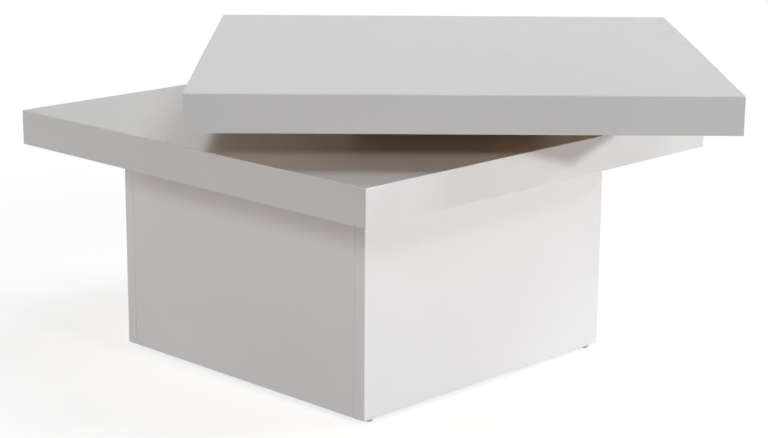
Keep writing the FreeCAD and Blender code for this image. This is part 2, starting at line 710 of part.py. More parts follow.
def build_bearing_fixings():
    """Machine screws up through the spacer and the clinch nuts on the lower plate that they thread into."""
    screws = []
    nuts = []
    for angle in QUARTERS:
        x, y = polar("machine_screw_circle", angle)
        head = taper(f"machine_screw_head_{angle}", x, y, LOWER_TOP, "machine_screw_head_diameter",
                     "machine_screw_diameter", "machine_screw_head_height")
        shank = rod(f"machine_screw_shank_{angle}", x, y, LOWER_TOP, "machine_screw_diameter",
                    f"{LOWER_PLATE_TOP} + nut_height - {LOWER_TOP}")
        screws.append(joined(f"machine_screw_{angle}", [head, shank]))
        barrel = rod(f"nut_barrel_{angle}", x, y, LOWER_PLATE_TOP, "nut_diameter", "nut_height")
        thread = rod(f"nut_thread_{angle}", x, y, LOWER_PLATE_TOP,
                     "machine_screw_diameter + 2 * thread_clearance", "nut_height")
        nuts.append(drilled(f"clinch_nut_{angle}", barrel, [thread]))
    node("spacer_machine_screws", group("spacer_machine_screws", screws))
    node("bearing_clinch_nuts", group("bearing_clinch_nuts", nuts))


def build_bearing_rivet():
    """Flanged rivet at the pivot: fixed in the lower plate, and the upper plate turns on it."""
    foot = rod("rivet_foot", "pivot_offset", "0", f"{SPACER_TOP} - rivet_flange_thickness",
               "rivet_flange_diameter", "rivet_flange_thickness")
    shank_length = "bearing_height + rivet_flange_thickness + flange_clearance"
    shank = rod("rivet_shank", "pivot_offset", "0", f"{SPACER_TOP} - rivet_flange_thickness",
                "rivet_diameter", shank_length)
    crown = rod("rivet_crown", "pivot_offset", "0", f"{UPPER_BOTTOM} + flange_clearance",
                "rivet_flange_diameter", "rivet_flange_thickness")
    node("bearing_rivet", joined("bearing_rivet", [foot, shank, crown]))


def build_bearing_balls():
    """Balls in the race and the ring that spaces them, which follow at half the turn."""
    cage_bottom = f"({BALL_LEVEL} - cage_thickness / 2)"
    ring = rod("cage_ring", "pivot_offset", "0", cage_bottom,
               "race_diameter + cage_width", "cage_thickness")
    tools = [rod("cage_middle", "pivot_offset", "0", cage_bottom,
                 "race_diameter - cage_width", "cage_thickness")]
    balls = []
    for index, angle in enumerate(ball_angles()):
        x, y = polar("race_diameter", angle)
        tools.append(rod(f"cage_hole_{index}", x, y, cage_bottom,
                         "ball_diameter + 2 * cage_clearance", "cage_thickness"))
        ball = doc.addObject("Part::Sphere", f"ball_{index}")
        bind(ball, "Radius", "ball_diameter / 2")
        balls.append(place(ball, x, y, BALL_LEVEL))
    node("bearing_cage", drilled("bearing_cage", ring, tools))
    node("bearing_balls", group("bearing_balls", balls))


def build_base():
    """The box that carries the lower slab."""
    build_face_panel("base_front_panel", -1)
    build_face_panel("base_back_panel", 1)
    build_side_panel("base_left_panel", -1)
    build_side_panel("base_right_panel", 1)
    build_corner_fittings()
    build_batten("top_batten_front", -1)
    build_batten("top_batten_back", 1)
    build_batten_screws()
    build_glides()


def build_swivel():
    """Spacer, bearing and fixings between the two slabs."""
    build_spacer()
    build_swivel_bolts()
    build_bearing_lower_plate()
    build_bearing_fixings()
    build_bearing_rivet()
    build_bearing_balls()
    build_bearing_upper_plate()


def check():
    """Stops if any object failed or any sub-part's shape is empty or not valid."""
    failed = [thing.Name for thing in doc.Objects if {"Invalid", "Error"} & set(thing.State)]
    broken = [thing.Label for thing in nodes if thing.Shape.isNull() or not thing.Shape.isValid()]
    if failed or broken:
        raise RuntimeError(f"failed: {failed}, broken: {broken}")


def write():
    """Writes each sub-part to its own file."""
    os.makedirs("parts", exist_ok=True)
    for thing in nodes:
        thing.Shape.exportStep(f"parts/{thing.Label}.step")
        print(thing.Label, len(thing.Shape.Solids), round(thing.Shape.Volume))


build_base()
build_lower_slab()
build_upper_slab()
build_swivel()
doc.recompute()
check()
write()
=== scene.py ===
"""Looks of the swivel coffee table: two gloss white slabs, a box base and the swivel between the slabs.

Metres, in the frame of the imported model: +Z up, origin on the floor under the base, -Y the base's front.
"""
import json
import logging
import math
from abc import ABC, abstractmethod
from collections.abc import Callable
from dataclasses import dataclass
from enum import Enum, Flag, auto

import bpy
import numpy as np
from mathutils import Matrix, Vector


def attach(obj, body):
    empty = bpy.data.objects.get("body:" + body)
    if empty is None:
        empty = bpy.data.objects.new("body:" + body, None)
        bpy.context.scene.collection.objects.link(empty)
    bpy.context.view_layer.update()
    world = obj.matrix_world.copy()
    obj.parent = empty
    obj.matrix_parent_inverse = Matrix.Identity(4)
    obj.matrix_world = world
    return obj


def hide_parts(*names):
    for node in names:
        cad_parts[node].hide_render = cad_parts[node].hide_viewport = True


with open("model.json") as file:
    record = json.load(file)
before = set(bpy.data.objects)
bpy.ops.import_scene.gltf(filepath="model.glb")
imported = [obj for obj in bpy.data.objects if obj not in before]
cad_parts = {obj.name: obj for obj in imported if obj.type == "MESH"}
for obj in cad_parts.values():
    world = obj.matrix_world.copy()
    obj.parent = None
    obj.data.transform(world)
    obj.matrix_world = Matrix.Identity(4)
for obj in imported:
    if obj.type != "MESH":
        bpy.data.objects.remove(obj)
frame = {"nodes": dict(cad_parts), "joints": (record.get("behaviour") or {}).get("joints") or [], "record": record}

LOG = logging.getLogger("swivel_coffee_table")
MM = 0.001
# Points that lie closer than a hair are one point, and a square corner is rounded by a hair.
HAIR = 0.02 * MM
# Keeps a normal without length from being divided by zero.
TINY = 1e-12
# Points along a rounded corner, and round a turned piece.
ARC_STEPS = 6
STATIONS = 64

Pair = tuple[float, float]
Triple = tuple[float, float, float]
Colour = Triple
Socket = bpy.types.NodeSocket

EVEN: Triple = (1.0, 1.0, 1.0)
WHITE: Colour = (1.0, 1.0, 1.0)
# Most values of a noise lie between these.
NOISE_RANGE: Pair = (0.3, 0.7)


class Side(Flag):
    """Sides of a board seen from above, before it is turned."""

    LEFT = auto()
    RIGHT = auto()
    FRONT = auto()
    BACK = auto()
    ALL = LEFT | RIGHT | FRONT | BACK


class Axis(Enum):
    """The way that a turned piece points, as the rows of its rotation from +Z."""

    UP = ((1, 0, 0), (0, 1, 0), (0, 0, 1))
    LEFT = ((0, 0, -1), (0, 1, 0), (1, 0, 0))
    RIGHT = ((0, 0, 1), (0, 1, 0), (-1, 0, 0))
    FRONT = ((1, 0, 0), (0, 0, -1), (0, 1, 0))
    BACK = ((1, 0, 0), (0, 0, 1), (0, -1, 0))


class Recess(Enum):
    """The driver recess in a screw's head."""

    NONE = "plain"
    CROSS = "cross"
    HEXAGON = "hexagon"


@dataclass(frozen=True)
class Box:
    """A box with its lowest and highest corners, in metres."""

    low: np.ndarray
    high: np.ndarray

    @property
    def middle(self) -> np.ndarray:
        """The box's centre."""
        return (self.low + self.high) / 2

    @property
    def spans(self) -> np.ndarray:
        """The box's three sizes."""
        return self.high - self.low

    @property
    def foot(self) -> np.ndarray:
        """The middle of the box's lowest face."""
        return np.array((*self.middle[:2], self.low[2]))


@dataclass(frozen=True)
class Placing:
    """How a sub-assembly is turned in plan about the swivel's pivot, in radians."""

    pivot: Pair = (0.0, 0.0)
    turn: float = 0.0

    def matrix(self) -> np.ndarray:
        """The rotation about +Z as a 3 x 3 matrix."""
        sine, cosine = math.sin(self.turn), math.cos(self.turn)
        return np.array(((cosine, -sine, 0.0), (sine, cosine, 0.0), (0.0, 0.0, 1.0)))

    def out(self, points: np.ndarray) -> np.ndarray:
        """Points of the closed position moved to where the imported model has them."""
        pivot = np.array((*self.pivot, 0.0))
        return (points - pivot) @ self.matrix().T + pivot

    def back(self, points: np.ndarray) -> np.ndarray:
        """Points moved back to the closed position."""
        pivot = np.array((*self.pivot, 0.0))
        return (points - pivot) @ self.matrix() + pivot

    def box(self, node: str) -> Box:
        """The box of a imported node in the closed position."""
        points = self.back(node_points(node))
        return Box(points.min(axis=0), points.max(axis=0))


def node_points(node: str) -> np.ndarray:
    """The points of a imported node.

    Args:
        node: name of the node.

    Returns:
        An array with one row of x, y and z for each point.
    """
    mesh = frame["nodes"][node].data
    points = np.zeros(len(mesh.vertices) * 3, np.float32)
    mesh.vertices.foreach_get("co", points)
    return points.reshape(-1, 3).astype(float)


def plan_angle(node: str) -> float:
    """The angle in plan of a long straight node.

    The first principal axis of its points lies along it.

    Args:
        node: name of a node that is much longer than wide.

    Returns:
        The angle from +X in radians, between minus and plus a quarter turn.
    """
    plan = node_points(node)[:, :2]
    axis = np.linalg.svd(plan - plan.mean(axis=0), full_matrices=False)[2][0]
    return math.atan2(axis[1], axis[0]) if axis[0] >= 0 else math.atan2(-axis[1], -axis[0])


def solid_boxes(node: str) -> list[Box]:
    """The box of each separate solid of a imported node.

    Points at the same place are one point, and labels spread along the triangles until none changes.

    Args:
        node: name of a node that groups several solids.

    Returns:
        One box for each solid, in the order of their first points.
    """
    points = node_points(node)
    mesh = frame["nodes"][node].data
    mesh.calc_loop_triangles()
    corners = np.zeros(len(mesh.loop_triangles) * 3, np.int32)
    mesh.loop_triangles.foreach_get("vertices", corners)
    merged = np.unique(np.round(points / HAIR), axis=0, return_inverse=True)[1].reshape(-1)
    triangles = merged[corners].reshape(-1, 3)
    labels = np.arange(merged.max() + 1)
    while True:
        spread = labels.copy()
        lowest = labels[triangles].min(axis=1)
        for corner in range(3):
            np.minimum.at(spread, triangles[:, corner], lowest)
        if np.array_equal(spread, labels):
            break
        labels = spread
    owner = labels[merged]
    return [Box(points[owner == label].min(axis=0), points[owner == label].max(axis=0))
            for label in np.unique(owner)]


@dataclass
class Surface:
    """A closed surface: points, normals, faces, and where its edges are rounded, from 0 on flats to 1."""

    points: np.ndarray
    normals: np.ndarray
    faces: list[np.ndarray]
    arris: np.ndarray

    def moved(self, matrix: np.ndarray, shift: np.ndarray) -> "Surface":
        """The surface turned by a 3 x 3 matrix and then shifted."""
        return Surface(self.points @ matrix.T + shift, self.normals @ matrix.T, self.faces, self.arris)

    def placed(self, placing: Placing) -> "Surface":
        """The surface turned with its sub-assembly."""
        return Surface(placing.out(self.points), self.normals @ placing.matrix().T, self.faces, self.arris)

    def piece(self, name: str, body: str, nodes: list[str], slot: str) -> None:
        """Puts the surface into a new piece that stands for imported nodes.

        Args:
            name: the piece's name.
            body: the body that it rides on.
            nodes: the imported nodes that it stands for.
            slot: the record's material slot, which also picks its finish.
        """
        mesh = bpy.data.meshes.new(name)
        mesh.from_pydata(self.points.tolist(), [], [face for block in self.faces for face in block.tolist()])
        mesh.polygons.foreach_set("use_smooth", np.ones(len(mesh.polygons), bool))
        arris = mesh.attributes.new("arris", "FLOAT", "POINT")
        arris.data.foreach_set("value", self.arris.astype(np.float32))
        mesh.normals_split_custom_set_from_vertices(self.normals.tolist())
        mesh.update()
        mesh.materials.append(FINISHES[slot].material())
        piece = bpy.data.objects.new(name, mesh)
        bpy.context.scene.collection.objects.link(piece)
        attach(piece, body)
        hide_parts(*nodes)
        LOG.info("%s: %d points", name, len(self.points))


def together(surfaces: list[Surface]) -> Surface:
    """Several surfaces as one.

    Args:
        surfaces: the surfaces, which don't touch.

    Returns:
        One surface with all their points and faces.
    """
    starts = np.cumsum([0] + [len(surface.points) for surface in surfaces[:-1]])
    faces = [block + start for surface, start in zip(surfaces, starts) for block in surface.faces]
    return Surface(
        np.concatenate([surface.points for surface in surfaces]),
        np.concatenate([surface.normals for surface in surfaces]),
        faces,
        np.concatenate([surface.arris for surface in surfaces]),
    )


def add_group(node: str, manner: str, body: str, slot: str, make: Callable[[Box], Surface]) -> None:
    """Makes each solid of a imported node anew, and puts them into one piece.

    Args:
        node: the node that groups the solids.
        manner: how they are made, the last word of the piece's name.
        body: the body that the piece rides on.
        slot: the record's material slot.
        make: gives one solid's new surface for its box.
    """
    surfaces = [make(box) for box in solid_boxes(node)]
    together(surfaces).piece(f"{node}_{manner}", body, [node], slot)


def closed_grid_faces(rings: int, stations: int) -> list[np.ndarray]:
    """Faces of a grid of rings that closes on a pole at each end.

    The points are the rings in order, then the first and the last pole.

    Args:
        rings: number of rings, from the first pole to the last.
        stations: points in each ring, counter-clockwise as seen from the last pole.

    Returns:
        The quads between the rings and the triangles round the poles, all facing outwards.
    """
    ring = np.arange(rings - 1)[:, None] * stations
    here = np.arange(stations)
    after = (here + 1) % stations
    quads = np.stack(
        (ring + here, ring + after, ring + stations + after, ring + stations + here), axis=-1
    ).reshape(-1, 4)
    first_pole = np.full(stations, rings * stations)
    first = np.stack((first_pole, after, here), axis=-1)
    top = (rings - 1) * stations
    last = np.stack((first_pole + 1, top + here, top + after), axis=-1)
    return [quads, first, last]


def eased_board(box: Box, arris: float, corner: float, eased: Side = Side.ALL) -> Surface:
    """A board with rounded edges.

    The outline in plan is a rectangle whose corners are quarter circles. The profile is a quarter circle,
    the straight side and a quarter circle. Carried round the outline, a profile point that lies d inside
    draws the eased sides in by d and shortens the corners' radius by d. Each flat face closes on a pole in
    its middle.

    Args:
        box: the board's box.
        arris: radius of the edges above and below.
        corner: radius of the upright edges, more than arris.
        eased: the sides that are drawn in; the others stay square.

    Returns:
        The board's surface.
    """
    quarter = np.linspace(0.0, math.pi / 2, ARC_STEPS)
    x_sign = np.array((1, -1, -1, 1))
    y_sign = np.array((1, 1, -1, -1))
    x_eased = np.where(x_sign > 0, Side.RIGHT in eased, Side.LEFT in eased)
    y_eased = np.where(y_sign > 0, Side.BACK in eased, Side.FRONT in eased)
    both = x_eased & y_eased
    angle = (np.arange(4)[:, None] * math.pi / 2 + quarter).ravel()
    outward = np.stack((np.cos(angle), np.sin(angle)), axis=-1)
    radius = np.repeat(np.where(both, corner, HAIR), ARC_STEPS)[:, None]
    reach = np.stack((x_sign, y_sign), axis=-1) * box.spans[:2] / 2
    signs = np.repeat(np.stack((x_sign, y_sign), axis=-1), ARC_STEPS, axis=0)
    outline = np.repeat(reach, ARC_STEPS, axis=0) - signs * radius + outward * radius
    one_sided = signs * np.repeat(np.stack((x_eased, y_eased), axis=-1), ARC_STEPS, axis=0)
    inwards = -np.where(np.repeat(both, ARC_STEPS)[:, None], outward, one_sided)

    tilt = np.concatenate((quarter - math.pi / 2, quarter))
    inset = arris * (1 - np.cos(tilt))
    level = np.where(
        np.arange(2 * ARC_STEPS) < ARC_STEPS,
        box.low[2] + arris * (1 + np.sin(tilt)),
        box.high[2] - arris * (1 - np.sin(tilt)),
    )
    plan = box.middle[:2] + outline + inset[:, None, None] * inwards
    heights = np.broadcast_to(level[:, None, None], (*plan.shape[:2], 1))
    poles = np.array(((*box.middle[:2], box.low[2]), (*box.middle[:2], box.high[2])))
    points = np.concatenate((np.concatenate((plan, heights), axis=-1).reshape(-1, 3), poles))

    sideways = np.cos(tilt)[:, None, None] * outward
    upwards = np.broadcast_to(np.sin(tilt)[:, None, None], (*plan.shape[:2], 1))
    normals = np.concatenate((np.concatenate((sideways, upwards), axis=-1).reshape(-1, 3),
                              ((0.0, 0.0, -1.0), (0.0, 0.0, 1.0))))
    on_edge = np.abs(np.sin(2 * tilt))[:, None]
    on_corner = np.repeat(both, ARC_STEPS) * np.abs(np.sin(2 * angle))
    share = np.maximum(on_edge, on_corner * np.cos(tilt)[:, None]).ravel()
    return Surface(points, normals, closed_grid_faces(2 * ARC_STEPS, 4 * ARC_STEPS),
                   np.concatenate((share, (0.0, 0.0))))


def station_angles() -> np.ndarray:
    """The angle of each station round a turned piece, in radians."""
    return np.arange(STATIONS) * 2 * math.pi / STATIONS


def recess_outline(recess: Recess) -> np.ndarray:
    """The outline of a driver recess as a share of its radius at each station of a turned piece.

    A hexagon's radius is its apothem over the cosine of the angle from the middle of the nearest side. A
    cross has its full radius where the cosine of twice the angle is 1 or -1, and falls to its core between
    with a power of that cosine.

    Args:
        recess: the kind of recess.

    Returns:
        One share for each station.
    """
    angle = station_angles()
    if recess is Recess.HEXAGON:
        sixth = math.pi / 3
        return math.cos(sixth / 2) / np.cos((angle + sixth / 2) % sixth - sixth / 2)
    if recess is Recess.CROSS:
        core = 0.35
        power = 8
        return core + (1 - core) * np.cos(2 * angle) ** power
    return np.ones(STATIONS)


@dataclass(frozen=True)
class Turned:
    """A turned piece: a profile of radius and height, with each corner rounded, carried round +Z.

    The profile starts and ends on the axis. Its first driven corners follow the outline of a driver recess.
    A rounding takes up run_share of the shorter run beside it at most.
    """

    corners: tuple[Pair, ...]
    rounding: float
    recess: Recess = Recess.NONE
    driven: int = 0
    run_share: float = 0.45

    def surface(self) -> Surface:
        """The turned surface.

        Between tangent points, each corner's arc is a quadratic curve from the run before it to the run
        after it. A normal is the cross product of the differences along the profile and round the ring.

        Returns:
            The surface, upright at the origin.
        """
        corners = np.array(self.corners)
        before, corner, after = corners[:-2], corners[1:-1], corners[2:]
        into = np.linalg.norm(corner - before, axis=1)
        onto = np.linalg.norm(after - corner, axis=1)
        reach = np.minimum(self.rounding, self.run_share * np.minimum(into, onto))[:, None]
        start = corner + (before - corner) / into[:, None] * reach
        end = corner + (after - corner) / onto[:, None] * reach
        share = np.linspace(0.0, 1.0, ARC_STEPS)[:, None]
        arcs = ((1 - share) ** 2 * start[:, None] + 2 * share * (1 - share) * corner[:, None]
                + share ** 2 * end[:, None])
        profile = arcs.reshape(-1, 2)
        shape = np.ones((len(profile), STATIONS))
        shape[:self.driven * ARC_STEPS] = recess_outline(self.recess)
        angle = station_angles()
        radius = profile[:, :1] * shape
        ring = np.stack((radius * np.cos(angle), radius * np.sin(angle),
                         np.broadcast_to(profile[:, 1:], radius.shape)), axis=-1)
        along = np.gradient(ring, axis=0)
        around = np.roll(ring, -1, axis=1) - np.roll(ring, 1, axis=1)
        normal = np.cross(around, along)
        normal /= np.maximum(np.linalg.norm(normal, axis=-1, keepdims=True), TINY)
        poles = np.array(((0.0, 0.0, corners[0, 1]), (0.0, 0.0, corners[-1, 1])))
        points = np.concatenate((ring.reshape(-1, 3), poles))
        normals = np.concatenate((normal.reshape(-1, 3), ((0.0, 0.0, -1.0), (0.0, 0.0, 1.0))))
        rounded = np.tile(np.sin(np.linspace(0.0, math.pi, ARC_STEPS)), len(corner))
        arris = np.repeat(rounded, STATIONS)
        return Surface(points, normals, closed_grid_faces(len(profile), STATIONS),
                       np.concatenate((arris, (0.0, 0.0))))

    def standing(self, foot: np.ndarray, axis: Axis = Axis.UP) -> Surface:
        """The turned surface, moved to a point and turned to an axis.

        Args:
            foot: where the profile's height of zero lies.
            axis: the way that the profile's height grows.

        Returns:
            The placed surface.
        """
        return self.surface().moved(np.array(axis.value), np.asarray(foot))


@dataclass(frozen=True)
class Grain:
    """A cloudy noise: the width of a cloud in metres, its octaves, and its stretch along each axis."""

    width: float
    octaves: float
    stretch: Triple = EVEN


class Recipe:
    """A material's node tree, with short methods for the nodes that the finishes share."""

    def __init__(self, name: str) -> None:
        """Starts a material with one principled shader.

        Args:
            name: the material's name.
        """
        self.made = bpy.data.materials.new(name)
        self.made.use_nodes = True
        self.tree = self.made.node_tree
        self.shader = self.tree.nodes["Principled BSDF"]
        self.place = self.add("ShaderNodeTexCoord").outputs["Object"]

    def add(self, kind: str) -> bpy.types.Node:
        """A new node of a kind."""
        return self.tree.nodes.new(kind)

    def join(self, source: Socket, target: Socket) -> None:
        """Links two sockets."""
        self.tree.links.new(source, target)

    def constant(self, name: str, value: float) -> None:
        """Sets a socket of the shader that is the same all over."""
        self.shader.inputs[name].default_value = value

    def noise(self, grain: Grain) -> Socket:
        """Cloudy noise over the piece.

        Args:
            grain: its width, octaves and stretch.

        Returns:
            The noise from 0 to 1.
        """
        mapping = self.add("ShaderNodeMapping")
        mapping.inputs["Scale"].default_value = tuple(1.0 / share for share in grain.stretch)
        self.join(self.place, mapping.inputs["Vector"])
        texture = self.add("ShaderNodeTexNoise")
        texture.inputs["Scale"].default_value = 1.0 / grain.width
        texture.inputs["Detail"].default_value = grain.octaves
        self.join(mapping.outputs["Vector"], texture.inputs["Vector"])
        return texture.outputs["Fac"]

    def attribute(self, name: str) -> Socket:
        """A number that the piece's mesh carries.

        Args:
            name: the attribute's name.

        Returns:
            The number at each place.
        """
        node = self.add("ShaderNodeAttribute")
        node.attribute_name = name
        return node.outputs["Fac"]

    def ramp(self, share: Socket, low: Colour, high: Colour, between: Pair = NOISE_RANGE) -> Socket:
        """A colour that goes from low to high.

        Args:
            share: what drives it.
            low: colour at the first share and below.
            high: colour at the second share and above.
            between: the shares at which it leaves low and reaches high.

        Returns:
            The colour.
        """
        node = self.add("ShaderNodeValToRGB")
        first, last = node.color_ramp.elements
        first.position, last.position = between
        first.color, last.color = (*low, 1.0), (*high, 1.0)
        self.join(share, node.inputs["Fac"])
        return node.outputs["Color"]

    def span(self, share: Socket, low: float, high: float) -> Socket:
        """A number that goes from low to high over the usual range of a noise.

        Args:
            share: what drives it.
            low: number at the start of the range and below.
            high: number at the end of the range and above.

        Returns:
            The number.
        """
        node = self.add("ShaderNodeMapRange")
        for name, value in zip(("From Min", "From Max", "To Min", "To Max"), (*NOISE_RANGE, low, high)):
            node.inputs[name].default_value = value
        self.join(share, node.inputs["Value"])
        return node.outputs["Result"]

    def mixed(self, share: Socket, first: Socket, second: Socket) -> Socket:
        """One colour turned into another by a share.

        Args:
            share: how much of the second colour shows.
            first: the first colour.
            second: the second colour.

        Returns:
            The mixed colour.
        """
        node = self.add("ShaderNodeMix")
        node.data_type = "RGBA"
        self.join(share, node.inputs["Factor"])
        self.join(first, node.inputs["A"])
        self.join(second, node.inputs["B"])
        return node.outputs["Result"]

    def times(self, first: Socket, second: Socket) -> Socket:
        """The product of two numbers.

        Args:
            first: a number.
            second: another one.

        Returns:
            Their product.
        """
        node = self.add("ShaderNodeMath")
        node.operation = "MULTIPLY"
        self.join(first, node.inputs[0])
        self.join(second, node.inputs[1])
        return node.outputs["Value"]

    def colour(self, socket: Socket) -> None:
        """Links the base colour."""
        self.join(socket, self.shader.inputs["Base Color"])

    def roughness(self, socket: Socket) -> None:
        """Links the roughness."""
        self.join(socket, self.shader.inputs["Roughness"])

    def relief(self, height: Socket, depth: float, strength: float = 0.4) -> None:
        """Links a bump.

        Args:
            height: the bump's height, from 0 to 1.
            depth: its depth in metres.
            strength: how much of it is seen.
        """
        node = self.add("ShaderNodeBump")
        node.inputs["Strength"].default_value = strength
        node.inputs["Distance"].default_value = depth
        self.join(height, node.inputs["Height"])
        self.join(node.outputs["Normal"], self.shader.inputs["Normal"])


@dataclass(frozen=True)
class Finish(ABC):
    """A finish that makes its material once."""

    name: str

    def material(self) -> bpy.types.Material:
        """The finish's material, made at its first use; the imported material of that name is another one."""
        own_name = f"{self.name}_finish"
        return bpy.data.materials.get(own_name) or self.make(Recipe(own_name))

    @abstractmethod
    def make(self, recipe: Recipe) -> bpy.types.Material:
        """Fills the recipe and gives its material; each kind of finish has its own."""


@dataclass(frozen=True)
class GlossLacquer(Finish):
    """Sprayed gloss lacquer: a faint cloudy tone, polish marks, orange peel and painted highlights on the rounded
    edges.
    """

    light: Colour = (0.765, 0.755, 0.75)
    shade: Colour = (0.74, 0.73, 0.725)
    # Paler colour of the painted highlight along the rounded edges, and the noise and spans that break it into
    # patches.
    edge_highlight: Colour = (0.95, 0.94, 0.93)
    gloss: Pair = (0.20, 0.26)
    cloud: Grain = Grain(width=0.18, octaves=3.0)
    highlight_grain: Grain = Grain(width=0.03, octaves=4.0)
    highlight_ramp: Pair = (0.1, 0.4)
    highlight_span: Pair = (0.7, 1.0)
    polish: Grain = Grain(width=0.03, octaves=5.0)
    peel: Grain = Grain(width=4 * MM, octaves=1.0)
    peel_depth: float = 0.006 * MM
    peel_strength: float = 0.5

    def make(self, recipe: Recipe) -> bpy.types.Material:
        """Fills the recipe.

        Args:
            recipe: the material's nodes.

        Returns:
            The material.
        """
        tone = recipe.ramp(recipe.noise(self.cloud), self.shade, self.light)
        highlight_noise = recipe.noise(self.highlight_grain)
        # Painted highlight: a paler colour is mixed in, in patches, where the edges are rounded, standing in for
        # the gloss catching the light there.
        painted_highlight_mask = recipe.times(recipe.attribute("arris"), recipe.span(highlight_noise, *self.highlight_span))
        highlight_colour = recipe.ramp(highlight_noise, self.light, self.edge_highlight, self.highlight_ramp)
        recipe.colour(recipe.mixed(painted_highlight_mask, tone, highlight_colour))
        recipe.roughness(recipe.span(recipe.noise(self.polish), *self.gloss))
        recipe.relief(recipe.noise(self.peel), self.peel_depth, self.peel_strength)
        return recipe.made


@dataclass(frozen=True)
class FibreBoard(Finish):
    """Pressed board: fine fibres, darker flecks and a matt, slightly rough face."""

    light: Colour = (0.64, 0.38, 0.18)
    shade: Colour = (0.54, 0.31, 0.135)
    fleck: Colour = (0.27, 0.14, 0.06)
    fibre: Grain = Grain(width=0.8 * MM, octaves=4.0, stretch=(3.0, 1.0, 1.0))
    flecks: Grain = Grain(width=3 * MM, octaves=3.0)
    fleck_share: Pair = (-1.0, 0.38)
    rough: Pair = (0.6, 0.8)
    depth: float = 0.1 * MM

    def make(self, recipe: Recipe) -> bpy.types.Material:
        """Fills the recipe.

        Args:
            recipe: the material's nodes.

        Returns:
            The material.
        """
        fibres = recipe.noise(self.fibre)
        tone = recipe.ramp(fibres, self.shade, self.light)
        dark = recipe.ramp(fibres, self.fleck, self.shade)
        share = recipe.span(recipe.noise(self.flecks), *self.fleck_share)
        recipe.colour(recipe.mixed(share, tone, dark))
        recipe.roughness(recipe.span(fibres, *self.rough))
        recipe.relief(fibres, self.depth)
        return recipe.made


@dataclass(frozen=True)
class SawnWood(Finish):
    """Planed wood: growth lines along the stick and finer pores."""

    light: Colour = (0.74, 0.57, 0.37)
    shade: Colour = (0.56, 0.38, 0.22)
    line: Grain = Grain(width=3 * MM, octaves=3.0, stretch=(30.0, 1.0, 1.0))
    line_range: Pair = (0.35, 0.75)
    pore: Grain = Grain(width=0.5 * MM, octaves=2.0, stretch=(30.0, 1.0, 1.0))
    pore_range: Pair = (0.5, 0.9)
    pore_share: Pair = (0.0, 0.5)
    rough: Pair = (0.5, 0.65)
    depth: float = 0.1 * MM

    def make(self, recipe: Recipe) -> bpy.types.Material:
        """Fills the recipe.

        Args:
            recipe: the material's nodes.

        Returns:
            The material.
        """
        lines = recipe.noise(self.line)
        pores = recipe.noise(self.pore)
        tone = recipe.ramp(lines, self.light, self.shade, self.line_range)
        pored = recipe.ramp(pores, self.light, self.shade, self.pore_range)
        recipe.colour(recipe.mixed(recipe.span(pores, *self.pore_share), tone, pored))
        recipe.roughness(recipe.span(lines, *self.rough))
        recipe.relief(pores, self.depth)
        return recipe.made


@dataclass(frozen=True)
class Metal(Finish):
    """Bare or plated metal: drawn lines and cloudy plating."""

    light: Colour = (0.66, 0.66, 0.67)
    shade: Colour = (0.52, 0.52, 0.53)
    gloss: Pair = (0.22, 0.4)
    cloud: Grain = Grain(width=12 * MM, octaves=4.0)
    line: Grain = Grain(width=0.4 * MM, octaves=2.0, stretch=(12.0, 1.0, 1.0))
    depth: float = 0.02 * MM

    def make(self, recipe: Recipe) -> bpy.types.Material:
        """Fills the recipe.

        Args:
            recipe: the material's nodes.

        Returns:
            The material.
        """
        recipe.constant("Metallic", 1.0)
        recipe.colour(recipe.ramp(recipe.noise(self.cloud), self.shade, self.light))
        lines = recipe.noise(self.line)
        recipe.roughness(recipe.span(lines, *self.gloss))
        recipe.relief(lines, self.depth)
        return recipe.made


@dataclass(frozen=True)
class Moulded(Finish):
    """Moulded plastic: a fine spark-eroded grain and scuffs that lighten it."""

    light: Colour = (0.50, 0.50, 0.51)
    shade: Colour = (0.42, 0.42, 0.43)
    rough: Pair = (0.45, 0.6)
    scuff: Grain = Grain(width=4 * MM, octaves=4.0)
    spark: Grain = Grain(width=0.5 * MM, octaves=2.0)
    depth: float = 0.05 * MM

    def make(self, recipe: Recipe) -> bpy.types.Material:
        """Fills the recipe.

        Args:
            recipe: the material's nodes.

        Returns:
            The material.
        """
        scuffs = recipe.noise(self.scuff)
        recipe.colour(recipe.ramp(scuffs, self.shade, self.light))
        recipe.roughness(recipe.span(scuffs, *self.rough))
        recipe.relief(recipe.noise(self.spark), self.depth)
        return recipe.made


